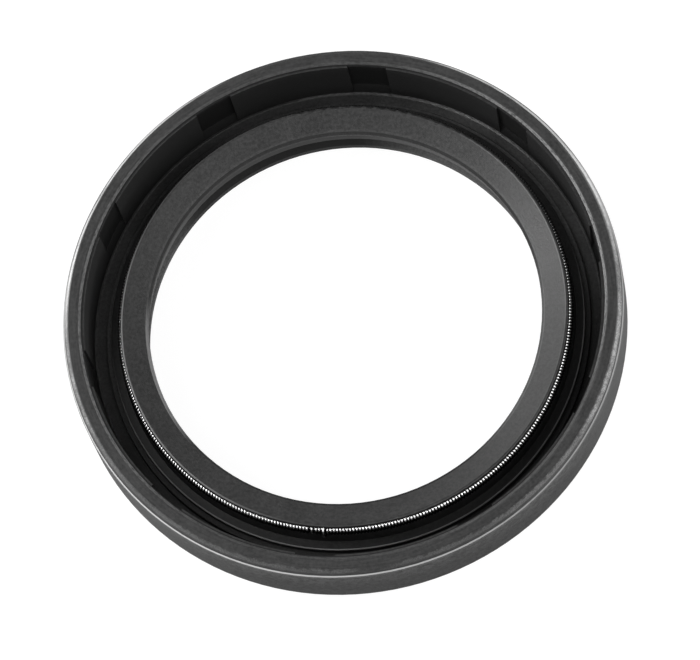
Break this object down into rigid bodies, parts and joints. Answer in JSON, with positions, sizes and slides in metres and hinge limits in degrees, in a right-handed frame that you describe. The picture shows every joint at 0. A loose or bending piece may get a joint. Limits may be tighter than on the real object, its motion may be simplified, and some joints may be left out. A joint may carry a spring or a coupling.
{
  "type": "radial shaft seal",
  "caption": "Rubber-covered radial shaft seal: a spring-loaded lip and a dust lip ride on a rotating shaft while the outer cover presses into a housing bore.",
  "frame": {"origin": "centre of the back face, on the seal's axis", "axes": "+Z along the seal's axis, towards the spring side; +X through the middle of one notch in the lining"},
  "size_m": [0.055, 0.055, 0.008],
  "materials": {
    "black_rubber": "matt moulded rubber with a faint sheen",
    "case_steel": "dark bonding layer on steel sheet",
    "spring_steel": "bright drawn wire"
  },
  "bodies": {
    "root": {"rubber_body": "black_rubber", "metal_case": "case_steel", "garter_spring": "spring_steel"}
  },
  "joints": []
}
